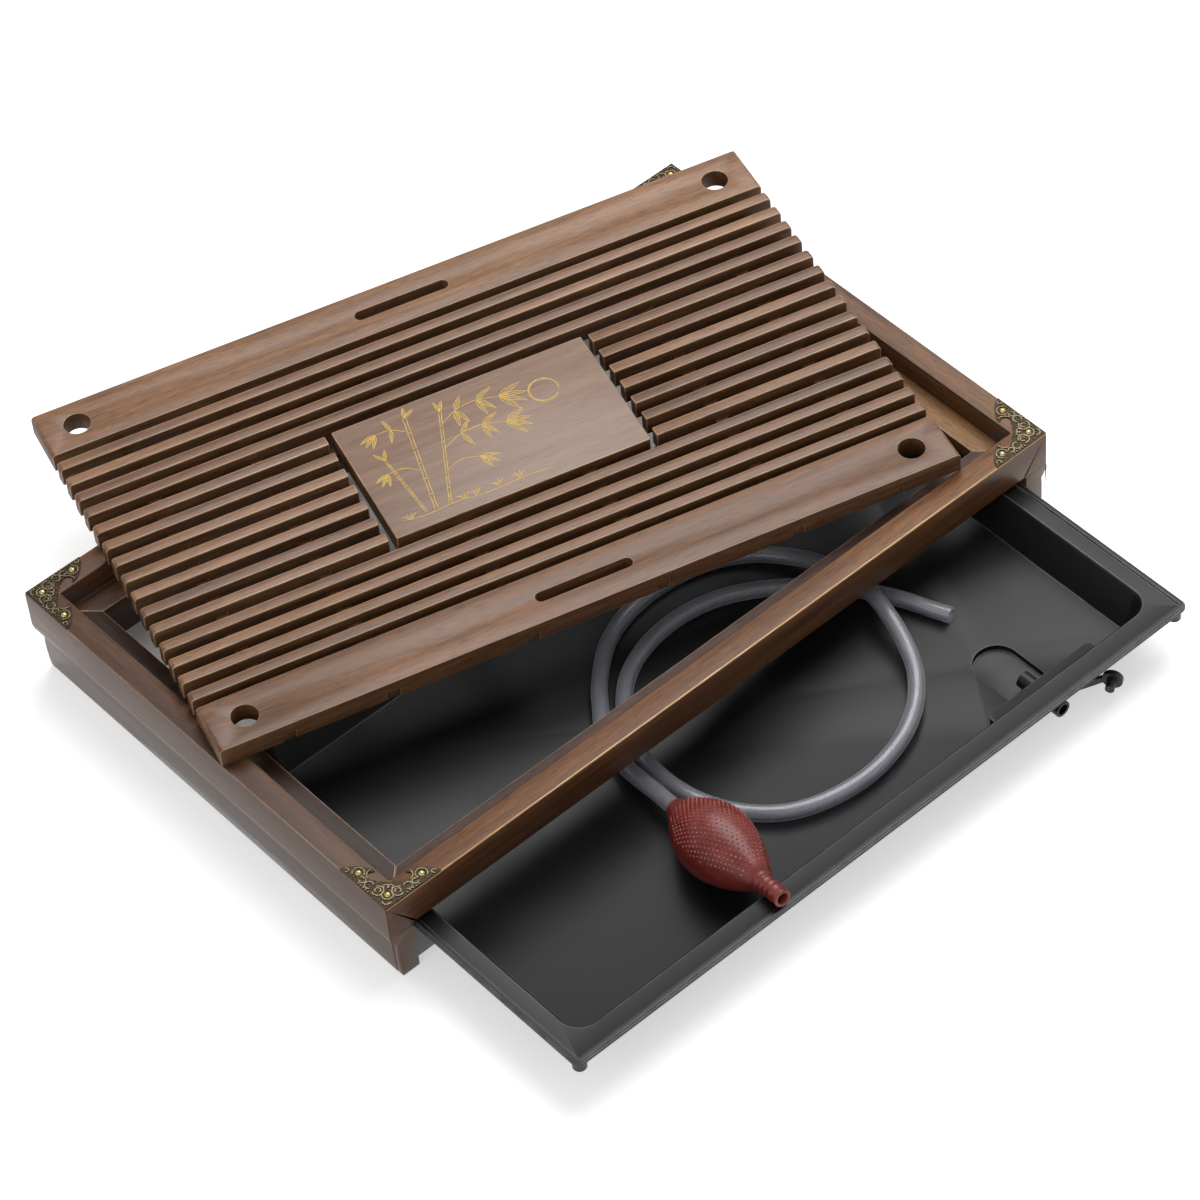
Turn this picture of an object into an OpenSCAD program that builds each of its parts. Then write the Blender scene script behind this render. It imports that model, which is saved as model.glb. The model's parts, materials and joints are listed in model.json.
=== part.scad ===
// Gongfu tea tray: moulded wooden frame with brass corners, a lift-off slatted
// grille, a black drip drawer with a drain spout and a siphon bulb on a clear hose.
// Millimetres. Origin on the table, under the middle of all that is seen: frame,
// grille and drawer. X runs right along the front, Y to the back, Z up; the drawer
// comes out to -Y.

/* [Frame] */
// Overall width of the frame
frame_w = 510; // [400:1:600]
// Overall depth of the frame
frame_d = 331; // [250:1:400]
// Overall height of the frame
frame_h = 63; // [50:0.5:80]
// Thickness of the four boards, which is the width of the rim
board_t = 15.5; // [10:0.5:25]
// Height of the plain band above the moulding
band_h = 25.5; // [15:0.5:40]
// How far the lower band stands back from the top band
step_in = 3.8; // [1:0.1:8]
// Radius of the lower band's swell
swell_r = 170; // [60:5:400]
// Length of the raised arch in the feet line of the side boards
arch_l = 162; // [60:1:220]
// Height of that arch
arch_h = 6.5; // [2:0.5:15]
// Length of the double curve at each end of an arch
arch_e = 25; // [8:0.5:40]
// Length of the arch in the back board
back_arch_l = 300; // [100:5:400]

/* [Drawer mouth] */
// Width of the leg left at each side of the mouth
mouth_side = 17; // [16:0.5:40]
// Clear height of the mouth over the table
mouth_h = 38; // [25:0.5:50]
// Radius in the mouth's two upper corners
mouth_r = 2; // [0.5:0.5:8]

/* [Ledge] */
// Width of the ledge strips that carry the grille
ledge_w = 16; // [8:0.5:25]
// Thickness of the ledge strips
ledge_t = 9.5; // [5:0.5:15]

/* [Brass corners] */
// Length of a corner plate along each rail
plate_l = 40; // [25:1:60]
// Thickness of the stamped sheet
plate_t = 0.7; // [0.4:0.1:2]
// Height of the raised stamping above the sheet
relief_h = 0.5; // [0.2:0.1:1.5]
// Diameter of a nail head
nail_d = 4.2; // [2:0.1:6]
// Height of a nail head above the sheet
nail_h = 1.6; // [0.5:0.1:3]

/* [Grille] */
// Play of the grille in the frame at each end
play_x = 3.5; // [1:0.5:10]
// Play of the grille in the frame at the front and at the back
play_y = 2; // [1:0.5:10]
// Thickness of slats, boards and centre plate
slat_t = 13; // [8:0.5:15]
// Width of a slat
slat_w = 7.2; // [4:0.1:12]
// Pitch of the four outer slats on each side
outer_pitch = 14.2; // [9:0.1:20]
// Pitch of the seven short slats
short_pitch = 14.7; // [9:0.1:20]
// Step from the last short slat to the first outer one
group_step = 15.2; // [9:0.1:25]
// Depth of the two wide boards
wide_w = 36.4; // [20:0.1:50]
// Length of the centre plate along the slats
plate_x = 164.5; // [100:0.5:220]
// Open gap between the centre plate and the short slats
plate_gap = 4.5; // [2:0.5:12]
// Diameter of the finger holes
finger_d = 16.5; // [10:0.5:25]
// Distance of a finger hole from the grille's end
finger_x = 23; // [15:0.5:40]
// Distance of the outer battens from the grille's end
batten_1x = 42; // [30:0.5:60]
// Distance of the next battens from the grille's end
batten_2x = 107; // [80:0.5:140]
// Distance of the two inner battens from the middle
batten_3x = 41.5; // [20:0.5:70]
// Length of the pouring slots
slot_l = 62; // [30:1:90]
// Width of the pouring slots
slot_w = 7.6; // [4:0.1:12]
// Radius of the slats' upper end corners
end_r = 2.5; // [0.5:0.5:5]
// Width of a batten
batten_w = 7.6; // [4:0.1:12]
// Height of a batten, all of it let into the slats
batten_h = 6; // [3:0.5:9]
// Distance of the batten ends from the grille's edges
batten_back = 0.5; // [0:0.5:30]
// Clearance of a batten in its notches, each side
notch_c = 0.1; // [0:0.05:0.5]
// Where the lifted-off grille lies: shift to the right
grille_x = 12.8; // [-50:0.5:50]
// Where the lifted-off grille lies: shift to the back
grille_y = 56.4; // [-100:0.5:100]
// Turn of the lifted-off grille
grille_turn = -16; // [-45:0.05:45]
// Gap between the lying grille and the rim and nail that carry it
lie_gap = 0.2; // [0.1:0.1:2]

/* [Drawer] */
// Play of the drawer in the mouth at each side
tray_play = 2; // [1:0.5:10]
// Play of the pushed-in drawer before the back board
tray_back = 1; // [0.5:0.5:60]
// Height of the flange's top over the table
tray_h = 34; // [20:0.5:37]
// Sideways play of the drawer in the mouth as it stands
tray_shift = -1; // [-1.5:0.5:1.5]
// How far the drawer is pulled out of the frame
pull = 136; // [0:1:180]
// Width of the flange at both sides and at the back
flange_s = 14; // [8:0.5:25]
// Width of the flange at the front
flange_f = 16; // [8:0.5:25]
// Thickness of the moulded sheet
wall = 2.4; // [1.5:0.1:4]
// Height of the raised edge bead
bead_h = 1.2; // [0.4:0.1:3]
// Width of the raised edge bead
bead_w = 3; // [1:0.5:6]
// Corner radius of the flange
flange_r = 5; // [2:0.5:20]
// Height of the pocket's floor over the table
floor_z = 7; // [4:0.5:20]
// Corner radius of the pocket at the flange
pocket_r = 14; // [11:0.5:30]
// How much the pocket narrows on each side down to the floor
draft = 9; // [2:0.5:12]
// Where the drain well stands along the drawer's width
well_x = 142.5; // [-200:0.5:200]
// Distance of the well's round end from the drawer's front edge
well_y = 63; // [40:1:120]
// Radius of the well
well_r = 14.5; // [8:0.5:25]
// Depth of the well
well_h = 4; // [1:0.5:5]
// Left end of the step over the spout
step_x0 = 100; // [0:1:200]
// Right end of the step over the spout
step_x1 = 182; // [0:1:230]
// Height of the step over the table
step_z = 24.5; // [15:0.5:30]
// Distance of the step's face from the drawer's front edge
step_y = 28; // [22:0.5:40]
// Diameter of the corner pegs under the flange
peg_d = 8.5; // [4:0.5:12]
// Length of the corner pegs
peg_h = 8; // [3:0.5:15]
// Diameter of the moulded stubs that the drawer slides on
stub_d = 12; // [6:1:20]
// Distance of the stubs from the pocket's sides
stub_in = 40; // [20:1:80]
// Height of the sloped lip round the pocket's mouth
lip_h = 1.6; // [0.5:0.1:3]

/* [Drain] */
// Outer diameter of the spout
spout_d = 10.4; // [7:0.1:14]
// Bore of the spout
spout_bore = 7; // [4:0.1:10]
// Height of the spout's axis over the table
spout_z = 11; // [8:0.5:20]
// Distance of the spout's tip from the drawer's front edge
spout_tip = 9; // [2:0.5:15]
// Distance of the spout's inner end from the drawer's front edge
spout_in = 42; // [35:0.5:60]
// Running clearance of the plug's ring on the spout, radial
ring_c = 0.05; // [0.01:0.01:0.1]
// Diameter of the plug's cap
cap_d = 12.3; // [8:0.1:16]
// Thickness of the plug's cap
cap_t = 3; // [1.5:0.1:5]
// Diameter of the plug's stopper at the cap
stop_d = 6.4; // [4:0.1:8]
// Length of the plug's stopper
stop_l = 7; // [4:0.5:12]

/* [Siphon] */
// Greatest diameter of the bulb
bulb_d = 45; // [30:0.5:60]
// Length of the bulb between its two nipples
bulb_l = 85; // [50:0.5:110]
// Length of the free nipple
tail_l = 20.5; // [20:0.5:40]
// Length of the nipple inside the hose
nip_l = 11.5; // [6:0.5:20]
// Diameter of the free nipple
tail_d = 10.5; // [8:0.1:14]
// Bore of both nipples
nip_bore = 5.2; // [3:0.1:8]
// Wall of the bulb
bulb_wall = 2.5; // [1.5:0.1:5]
// Outer diameter of the hose
hose_d = 10; // [8:0.1:12]
// Bore of the hose
hose_bore = 7; // [5:0.1:9]

/* [Hidden] */
$fn = 96;
hw = frame_w / 2;
hd = frame_d / 2;
in_w = frame_w - 2 * board_t;
in_d = frame_d - 2 * board_t;
mouth_w = frame_w - 2 * mouth_side;
grille_l = in_w - 2 * play_x;
grille_w = in_d - 2 * play_y;
tray_w = mouth_w - 2 * tray_play;
tray_d = hd + in_d / 2 - tray_back;
ledge_z = mouth_h;
seat_z = ledge_z + ledge_t;
band_z = frame_h - band_h;
round_h = 10.5;
round_x = step_in + 0.9;
round_r = (round_h * round_h + round_x * round_x) / (2 * round_x);
swell_z = 18;
rim_c = "#7a5641";
side_c = "#7d6f6b";
face_c = "#5c3a24";
ledge_c = "#a67c52";
slat_c = "#8f6f5a";
black_c = "#2e2f30";
red_c = "#7a2e2a";
brass_c = "#7f7350";

// Slat rows from the front (-7) to the back (7), row 0 in the middle.
function row_y(k) = abs(k) <= 3 ? k * short_pitch
    : sign(k) * (3 * short_pitch + group_step + (abs(k) - 4) * outer_pitch);
short_x0 = plate_x / 2 + plate_gap;
center_d = 2 * row_y(3) + slat_w + 1.4;
batten_xs = [-grille_l / 2 + batten_1x, -grille_l / 2 + batten_2x, -batten_3x,
    batten_3x, grille_l / 2 - batten_2x, grille_l / 2 - batten_1x];

// The lifted-off grille lies on one nail head of the back right corner and on the
// rim under its two front corners, so it is tilted a little.
function lie_corner(s) = [
    grille_x + s * grille_l / 2 * cos(grille_turn) + grille_w / 2 * sin(grille_turn),
    grille_y + s * grille_l / 2 * sin(grille_turn) - grille_w / 2 * cos(grille_turn),
    frame_h + lie_gap];
nail_at = [[7.2, 7.2], [plate_l - 9.5, 5.6], [5.6, plate_l - 9.5]];
corner_in = 0.4;
arch_y = 2;
lie_nail = [hw - corner_in - nail_at[2][0], hd - corner_in - nail_at[2][1],
    frame_h + plate_t + nail_h + lie_gap];
lie_cross = cross(lie_nail - lie_corner(-1), lie_corner(1) - lie_corner(-1));
lie_n = -lie_cross / norm(lie_cross);
tilt_x = -asin(lie_n[1]);
tilt_y = atan2(lie_n[0], lie_n[2]);
grille_z = frame_h + lie_gap - (lie_n[0] * (grille_x - lie_corner(1)[0])
    + lie_n[1] * (grille_y - lie_corner(1)[1])) / lie_n[2];

// The drawer's own frame: x from the middle of its width, y from its front edge.
tray_x = tray_shift;
tray_y = -hd - pull;
pocket_w = tray_w - 2 * flange_s;
pocket_d = tray_d - flange_f - flange_s;
pocket_y = flange_f + pocket_d / 2;
spout_x = well_x;
lip_z = tray_h - wall;

// Bulb axis, from the hose nipple's end to the free nipple's end.
bulb_p = [-71.3, -185.6, 21];
bulb_v = [-10.5, -98, 18.4];
bulb_len = nip_l + bulb_l + tail_l;
bulb_u = bulb_v / norm(bulb_v);

// Frame
module board_profile() {
    // x inwards from the outer face, y up from the table
    translate([0, band_z]) square([board_t, band_h]);
    intersection() {
        translate([0, band_z - round_h]) square([board_t, round_h]);
        translate([round_r, band_z]) circle(r = round_r, $fn = 180);
    }
    intersection() {
        square([board_t, band_z]);
        translate([step_in + swell_r, swell_z]) circle(r = swell_r, $fn = 360);
    }
}

module arch_cut(l) {
    // the raised part of the feet line, across a board that runs along x, with a
    // double curve at each end that starts just below the table
    n = 12;
    end = [for (i = [0:n]) [l / 2 - arch_e * i / n, -0.3 + (arch_h + 0.3) * (1 - cos(180 * i / n)) / 2]];
    rotate([90, 0, 0]) linear_extrude(60, center = true)
        polygon(concat([[l / 2, -1]], end, [for (i = [n:-1:0]) [-end[i][0], end[i][1]]], [[-l / 2, -1]]));
}

module miter(s, side) {
    // what a board loses at a corner: the half of space beyond the 45 degree plane,
    // for s = 1 at the back and -1 at the front, side = 1 towards the end of a long board
    translate([hw, s * hd, -1]) rotate([0, 0, s * 45])
        translate([-60, s * side > 0 ? -60 : 0, 0]) cube([120, 60, frame_h + 2]);
}

module side_board(s) {
    color(side_c) scale([s, 1, 1]) difference() {
        translate([hw, hd, 0]) rotate([90, 0, 0])
            linear_extrude(frame_d) scale([-1, 1]) board_profile();
        miter(1, -1);
        miter(-1, -1);
        translate([hw, arch_y, 0]) rotate([0, 0, 90]) arch_cut(arch_l);
    }
}

module back_board() {
    color(side_c) difference() {
        translate([-hw, hd, 0]) rotate([90, 0, 90])
            linear_extrude(frame_w) scale([-1, 1]) board_profile();
        for (s = [-1, 1]) scale([s, 1, 1]) miter(1, 1);
        translate([0, hd, 0]) arch_cut(back_arch_l);
    }
}

module front_board() {
    // moulded ends, mitred into the side boards, with the drawer mouth cut out
    color(face_c) difference() {
        translate([0, -hd + board_t, 0]) rotate([90, 0, 0])
            linear_extrude(board_t) difference() {
                union() {
                    for (s = [-1, 1]) scale([s, 1]) translate([-hw, 0]) board_profile();
                    translate([-hw + board_t - 0.5, 0]) square([in_w + 1, frame_h]);
                }
                translate([-mouth_w / 2, -1]) square([mouth_w, mouth_h + 1 - mouth_r]);
                translate([-mouth_w / 2 + mouth_r, -1])
                    square([mouth_w - 2 * mouth_r, mouth_h + 1]);
                for (s = [-1, 1]) translate([s * (mouth_w / 2 - mouth_r), mouth_h - mouth_r])
                    circle(r = mouth_r);
            }
        for (s = [-1, 1]) scale([s, 1, 1]) miter(-1, 1);
    }
}

module ledge(l) {
    // a strip along x against the wall at +y, mitred at both ends
    linear_extrude(ledge_t)
        polygon([[-l / 2, 0], [l / 2, 0], [l / 2 - ledge_w, -ledge_w], [-l / 2 + ledge_w, -ledge_w]]);
}

module ledge_back() color(ledge_c) translate([0, in_d / 2, ledge_z]) ledge(in_w);
module ledge_front() color(rim_c) translate([0, -in_d / 2, ledge_z]) rotate([0, 0, 180]) ledge(in_w);
module ledge_left() color(rim_c) translate([-in_w / 2, 0, ledge_z]) rotate([0, 0, 90]) ledge(in_d);
module ledge_right() color(ledge_c) translate([in_w / 2, 0, ledge_z]) rotate([0, 0, -90]) ledge(in_d);

// Brass corners
module plate_outline() {
    // corner at the origin, arms along +x and +y; the arm's end swings in from the
    // outer edge to a leaf tip at the inner one, then back and into the corner
    q = plate_l / 40;
    arm = [[40, 0], [39.3, 2], [38.2, 4.2], [36.6, 6.3], [34.4, 8.4], [31.6, 10.6], [28.9, 12.3],
           [26.6, 13.1], [25, 12.9], [25.9, 11.9], [26.6, 10.4], [26.8, 8.9], [26, 7.7],
           [24.4, 7.1], [22.6, 7.3], [21, 8.1], [19.6, 9.2], [18.6, 9.1], [17.6, 10],
           [17.2, 11.1], [16, 11.5], [15.2, 12.6]];
    n = len(arm);
    difference() {
        polygon(concat([[0, 0]], q * arm, [[13.9, 13.9]],
                       [for (i = [n - 1:-1:0]) q * [arm[i][1], arm[i][0]]]));
        for (p = nail_at) translate(p) circle(d = nail_d - 2);
    }
}

module curl(x, y, r, a0, a1, w) {
    // a raised scroll line of the stamping, flat on top
    translate([x, y, 0]) rotate([0, 0, a0]) rotate_extrude(angle = a1 - a0)
        translate([r - w / 2, 0]) square([w, relief_h]);
}

module corner_plate() {
    linear_extrude(plate_t) plate_outline();
    translate([0, 0, plate_t]) {
        for (m = [0, 1]) mirror([m, -m, 0]) {
            curl(13, 5.2, 3.3, 20, 300, 0.7);
            curl(13.4, 5.4, 1.6, -90, 180, 0.7);
            curl(19.6, 4.2, 2.5, -150, 130, 0.7);
            curl(24.6, 3.9, 1.8, 30, 320, 0.7);
            curl(30.5, 5.6, 3.5, -60, 200, 0.6);
            curl(22.3, 11.6, 5.3, -75, 5, 0.6);
            curl(11.9, 10.3, 1.5, -100, 170, 0.6);
            curl(36.5, 2, 1.3, 0, 250, 0.6);
            for (i = [0:4]) translate([16.4 + i * 2.1, 0.95, 0]) cylinder(d = 0.9, h = relief_h);
        }
        curl(7.2, 7.2, 3.3, 90, 360, 0.7);
        curl(4.2, 4.2, 2.6, 150, 300, 0.7);
    }
}

module at_corner(i) {
    // i counts back left, front left, front right, back right
    sx = i == 0 || i == 1 ? -1 : 1;
    sy = i == 0 || i == 3 ? 1 : -1;
    translate([sx * (hw - corner_in), sy * (hd - corner_in), frame_h]) scale([-sx, -sy, 1]) children();
}

module plate_node(i) color(brass_c) at_corner(i) corner_plate();

module nail() {
    // domed head over a short shank
    dome_r = (nail_d * nail_d / 4 + nail_h * nail_h) / (2 * nail_h);
    translate([0, 0, plate_t]) intersection() {
        translate([0, 0, nail_h - dome_r]) sphere(r = dome_r);
        cylinder(d = nail_d, h = nail_h);
    }
    cylinder(d = nail_d - 2, h = plate_t);
}

module corner_nails() color(brass_c)
    for (i = [0:3]) at_corner(i) for (p = nail_at) translate([p[0], p[1], 0]) nail();

// Grille
module on_grille() translate([grille_x, grille_y, grille_z]) rotate([tilt_x, tilt_y, 0])
    rotate([0, 0, grille_turn]) children();

module notches() for (x = batten_xs)
    translate([x - batten_w / 2 - notch_c, -grille_w, -1])
        cube([batten_w + 2 * notch_c, 2 * grille_w, batten_h + notch_c + 1]);

module bar(x0, x1, w, r0, r1) {
    // a slat along x with rounded upper end corners where r0 or r1 is above 0
    rotate([90, 0, 0]) linear_extrude(w, center = true) difference() {
        translate([x0, 0]) square([x1 - x0, slat_t]);
        if (r0 > 0) difference() {
            translate([x0 - 1, slat_t - r0]) square([r0 + 1, r0 + 1]);
            translate([x0 + r0, slat_t - r0]) circle(r = r0);
        }
        if (r1 > 0) difference() {
            translate([x1 - r1, slat_t - r1]) square([r1 + 1, r1 + 1]);
            translate([x1 - r1, slat_t - r1]) circle(r = r1);
        }
    }
}

module slat(k) color(slat_c) on_grille() translate([0, row_y(k), 0]) difference() {
    bar(-grille_l / 2, grille_l / 2, slat_w, end_r, end_r);
    notches();
}

module short_slat(k, s) color(slat_c) on_grille() translate([0, row_y(k), 0]) difference() {
    if (s < 0) bar(-grille_l / 2, -short_x0, slat_w, end_r, 0);
    else bar(short_x0, grille_l / 2, slat_w, 0, end_r);
    notches();
}

module wide_board(s) color(slat_c) on_grille()
    translate([0, s * (grille_w / 2 - wide_w / 2), 0]) difference() {
        bar(-grille_l / 2, grille_l / 2, wide_w, end_r, end_r);
        for (x = [-1, 1]) translate([x * (grille_l / 2 - finger_x), 0, -1])
            cylinder(d = finger_d, h = slat_t + 2);
        translate([0, 0, -1]) linear_extrude(slat_t + 2) {
            square([slot_l - slot_w, slot_w], center = true);
            for (x = [-1, 1]) translate([x * (slot_l - slot_w) / 2, 0]) circle(d = slot_w);
        }
        notches();
    }

module center_plate() color(slat_c) on_grille() difference() {
    translate([-plate_x / 2, -center_d / 2, 0]) cube([plate_x, center_d, slat_t]);
    notches();
}

module batten(i) color(ledge_c) on_grille()
    translate([batten_xs[i] - batten_w / 2, -grille_w / 2 + batten_back, 0])
        cube([batten_w, grille_w - 2 * batten_back, batten_h]);

// Drawer
module on_tray() translate([tray_x, tray_y, 0]) children();

module tapered_box(w, d, h, r, cut) {
    // rounded box, w by d with corner radius r at the top, narrower by cut at the bottom
    cx = w / 2 - r;
    cy = d / 2 - r;
    for (x = [-cx, cx], y = [-cy, cy]) translate([x, y, 0])
        cylinder(r1 = r - cut, r2 = r, h = h);
    translate([-cx, 0, 0]) rotate([90, 0, 90]) linear_extrude(2 * cx)
        polygon([[-d / 2 + cut, 0], [d / 2 - cut, 0], [d / 2, h], [-d / 2, h]]);
    translate([0, cy, 0]) rotate([90, 0, 0]) linear_extrude(2 * cy)
        polygon([[-w / 2 + cut, 0], [w / 2 - cut, 0], [w / 2, h], [-w / 2, h]]);
}

module round_rect(w, d, r) {
    square([w - 2 * r, d], center = true);
    square([w, d - 2 * r], center = true);
    for (x = [-1, 1], y = [-1, 1]) translate([x * (w / 2 - r), y * (d / 2 - r)]) circle(r = r);
}

module well_shape(grow) {
    translate([well_x, well_y]) circle(r = well_r + grow);
    translate([well_x - well_r - grow, step_y]) square([2 * (well_r + grow), well_y - step_y]);
}

module step_block(grow) {
    // the part of the pocket that is closed off over the spout
    r = 4;
    translate([step_x0 - grow, 0, -1])
        cube([step_x1 - step_x0 + 2 * grow, step_y + grow - r, step_z + grow + 1]);
    translate([step_x0 - grow + r, 0, -1])
        cube([step_x1 - step_x0 + 2 * grow - 2 * r, step_y + grow, step_z + grow + 1]);
    for (x = [step_x0 - grow + r, step_x1 + grow - r]) translate([x, step_y + grow - r, -1])
        cylinder(r = r, h = step_z + grow + 1);
}

module drip_tray() color(black_c) on_tray() difference() {
    union() {
        translate([0, tray_d / 2, lip_z]) linear_extrude(wall) round_rect(tray_w, tray_d, flange_r);
        translate([0, tray_d / 2, tray_h - 0.01]) linear_extrude(bead_h) difference() {
            round_rect(tray_w - 2, tray_d - 2, flange_r - 1);
            round_rect(tray_w - 2 - 2 * bead_w, tray_d - 2 - 2 * bead_w, flange_r - 1 - bead_w);
        }
        translate([0, pocket_y, floor_z - wall])
            tapered_box(pocket_w + 2 * wall, pocket_d + 2 * wall, lip_z - floor_z + wall,
                        pocket_r + wall, draft);
        translate([0, 0, floor_z - well_h - wall + 0.4]) linear_extrude(well_h) well_shape(2);
        for (x = [-1, 1], y = [flange_f + stub_in, tray_d - flange_s - stub_in])
            translate([x * (pocket_w / 2 - stub_in), y, 0]) cylinder(d = stub_d, h = floor_z - 1);
        for (x = [-1, 1], y = [flange_r + 1, tray_d - flange_r - 1])
            translate([x * (tray_w / 2 - flange_r - 1), y, lip_z - peg_h]) cylinder(d = peg_d, h = peg_h + 1);
    }
    difference() {
        translate([0, pocket_y, floor_z])
            tapered_box(pocket_w, pocket_d, tray_h - floor_z + 2, pocket_r, draft);
        step_block(0);
    }
    translate([0, pocket_y, tray_h - lip_h])
        tapered_box(pocket_w + 0.6, pocket_d + 0.6, lip_h + 0.01, pocket_r + 0.3, lip_h);
    translate([0, 0, floor_z - well_h]) linear_extrude(well_h + 1) well_shape(0);
    translate([0, -0.01, 0]) step_block(-wall);
    translate([spout_x, step_y + 2, spout_z]) rotate([90, 0, 0]) cylinder(d = spout_d, h = 10);
}

module drain_spout() color(black_c) on_tray() translate([spout_x, 0, spout_z]) rotate([-90, 0, 0])
    difference() {
        translate([0, 0, spout_tip]) cylinder(d = spout_d, h = spout_in - spout_tip);
        translate([0, 0, spout_tip - 1]) cylinder(d = spout_bore, h = spout_in - spout_tip + 2);
    }

// Plug: ring round the spout, strap to the right and forward, cap with a stopper.
ring_y = step_y - wall - 4.5;
ring_t = 3;
cap_at = [35.5, 4.2 - ring_y, 2];
cap_turn = 58;
strap_end = [cap_at[0] - cos(cap_turn) * (cap_d / 2 - 1), cap_at[1] + sin(cap_turn) * (cap_d / 2 - 1)];
strap_a = atan2(strap_end[1], strap_end[0]);
strap_w = 4.6;
strap_t = 2;
module drain_plug() color(black_c) on_tray() translate([spout_x, ring_y, spout_z]) {
    difference() {
        union() {
            rotate([-90, 0, 0]) cylinder(d = spout_d + 5, h = ring_t);
            rotate([0, 0, strap_a]) translate([spout_d / 2, 0, -strap_w / 2])
                cube([norm(strap_end) - spout_d / 2, strap_t, strap_w]);
        }
        translate([0, -1, 0]) rotate([-90, 0, 0]) cylinder(r = spout_d / 2 + ring_c, h = 16);
        translate([0, -11, 0]) rotate([-90, 0, 0]) cylinder(r = spout_d / 2 + ring_c, h = 12);
    }
    translate(cap_at) rotate([-90, 0, 0]) rotate([0, cap_turn, 0]) {
        translate([0, 0, -cap_t / 2]) cylinder(d = cap_d, h = cap_t);
        translate([0, 0, -cap_t / 2 - stop_l]) cylinder(d1 = stop_d - 0.8, d2 = stop_d, h = stop_l + 1);
    }
}

// Siphon
function bulb_r(t) = let (s = sin(180 * pow(t, 0.92)))
    tail_d / 2 + 1 + (bulb_d / 2 - tail_d / 2 - 1) * s;
bulb_n = 18;
module bulb_2d() {
    // radius along x, axis length along y from the hose nipple's end
    outer = concat(
        [[nip_bore / 2, 0], [3.0, 0], [3.3, 1.5], [3.0, 3], [3.3, 5], [3.0, 6.5], [3.3, 8.5],
         [3.0, 10], [3.2, nip_l], [tail_d / 2 + 1, nip_l]],
        [for (i = [1:bulb_n - 1]) [bulb_r(i / bulb_n), nip_l + bulb_l * i / bulb_n]],
        [[tail_d / 2 + 1, nip_l + bulb_l]],
        [for (i = [0:2]) each [[tail_d / 2, nip_l + bulb_l + 2 + i * 4.5],
                               [tail_d / 2, nip_l + bulb_l + 4 + i * 4.5],
                               [tail_d / 2 + 0.6, nip_l + bulb_l + 5 + i * 4.5]]],
        [[tail_d / 2, bulb_len - 4], [tail_d / 2, bulb_len], [nip_bore / 2 + 0.7, bulb_len]]);
    inner = concat(
        [[nip_bore / 2 + 0.7, nip_l + bulb_l - 2]],
        [for (i = [bulb_n - 2:-1:2]) [bulb_r(i / bulb_n) - bulb_wall, nip_l + bulb_l * i / bulb_n]],
        [[nip_bore / 2, nip_l + 3]]);
    polygon(concat(outer, inner));
}

module siphon_bulb() color(red_c) translate(bulb_p)
    rotate([0, acos(bulb_u[2]), atan2(bulb_u[1], bulb_u[0])]) rotate_extrude() bulb_2d();

// Hose route: along the bulb's axis, then one turn on the drawer's floor, over
// its own tail, back beside its start, a second part turn, and the open end.
lay = floor_z + hose_d / 2 + 0.3;
hose_start = bulb_p + (nip_l - 0.2) * bulb_u;
route = [
    hose_start, hose_start - 10 * bulb_u, hose_start - 20 * bulb_u, [-69.5, -161, 16.9], [-67.5, -144, 14.9],
    [-62, -124, 13.5], [-50, -107, lay], [-35, -89, lay], [-12, -70, lay], [14, -60, lay],
    [42, -58, lay], [70, -63, lay], [93, -76, lay + 0.6], [107, -94, 15], [115, -115, 19.5],
    [118, -137, 22.6], [118, -158, 23.4], [114, -178, 21.5], [108, -198, 17], [98, -216, 13.4],
    [80, -233, lay], [56, -245, lay], [28, -250, lay], [0, -247, lay], [-24, -237, lay],
    [-42, -219, lay], [-53, -197, lay], [-57, -172, lay], [-54, -146, lay], [-44, -122, lay],
    [-24, -100, lay], [0, -88, lay], [27, -84, lay], [54, -88, lay], [78, -100, lay],
    [100, -118, lay], [119, -140, lay], [133, -164, lay], [141, -184, lay], [146, -196, lay]];
steps = 2;
function cr(a, b, c, d, t) = 0.5 * ((2 * b) + (c - a) * t + (2 * a - 5 * b + 4 * c - d) * t * t
    + (3 * b - a - 3 * c + d) * t * t * t);
rn = len(route);
line = concat([for (i = [0:rn - 2], j = [0:steps - 1])
    let (a = route[max(i - 1, 0)], b = route[i], c = route[i + 1], d = route[min(i + 2, rn - 1)])
    cr(i == 0 ? 2 * b - c : a, b, c, i == rn - 2 ? 2 * c - b : d, j / steps)], [route[rn - 1]]);
ln = len(line);
function unit(v) = v / norm(v);
function tang(i) = unit(line[min(i + 1, ln - 1)] - line[max(i - 1, 0)]);
function ring(i, r, n) = let (t = tang(i), s = unit(cross(t, [0, 0, 1])), u = cross(s, t))
    [for (k = [0:n - 1]) line[i] + r * (cos(360 * k / n) * s + sin(360 * k / n) * u)];
hose_n = 12;
module siphon_hose() color("#b9bcc6") {
    pts = concat([for (i = [0:ln - 1]) each ring(i, hose_d / 2, hose_n)],
                 [for (i = [0:ln - 1]) each ring(i, hose_bore / 2, hose_n)]);
    b = ln * hose_n;
    e = (ln - 1) * hose_n;
    faces = concat(
        [for (i = [0:ln - 2], k = [0:hose_n - 1]) let (q = (k + 1) % hose_n, a = i * hose_n)
            [a + k, a + q, a + hose_n + q, a + hose_n + k]],
        [for (i = [0:ln - 2], k = [0:hose_n - 1]) let (q = (k + 1) % hose_n, a = b + i * hose_n)
            [a + hose_n + k, a + hose_n + q, a + q, a + k]],
        [for (k = [0:hose_n - 1]) let (q = (k + 1) % hose_n) [q, k, b + k, b + q]],
        [for (k = [0:hose_n - 1]) let (q = (k + 1) % hose_n) [e + k, e + q, b + e + q, b + e + k]]);
    polyhedron(pts, faces, convexity = 10);
}

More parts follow.
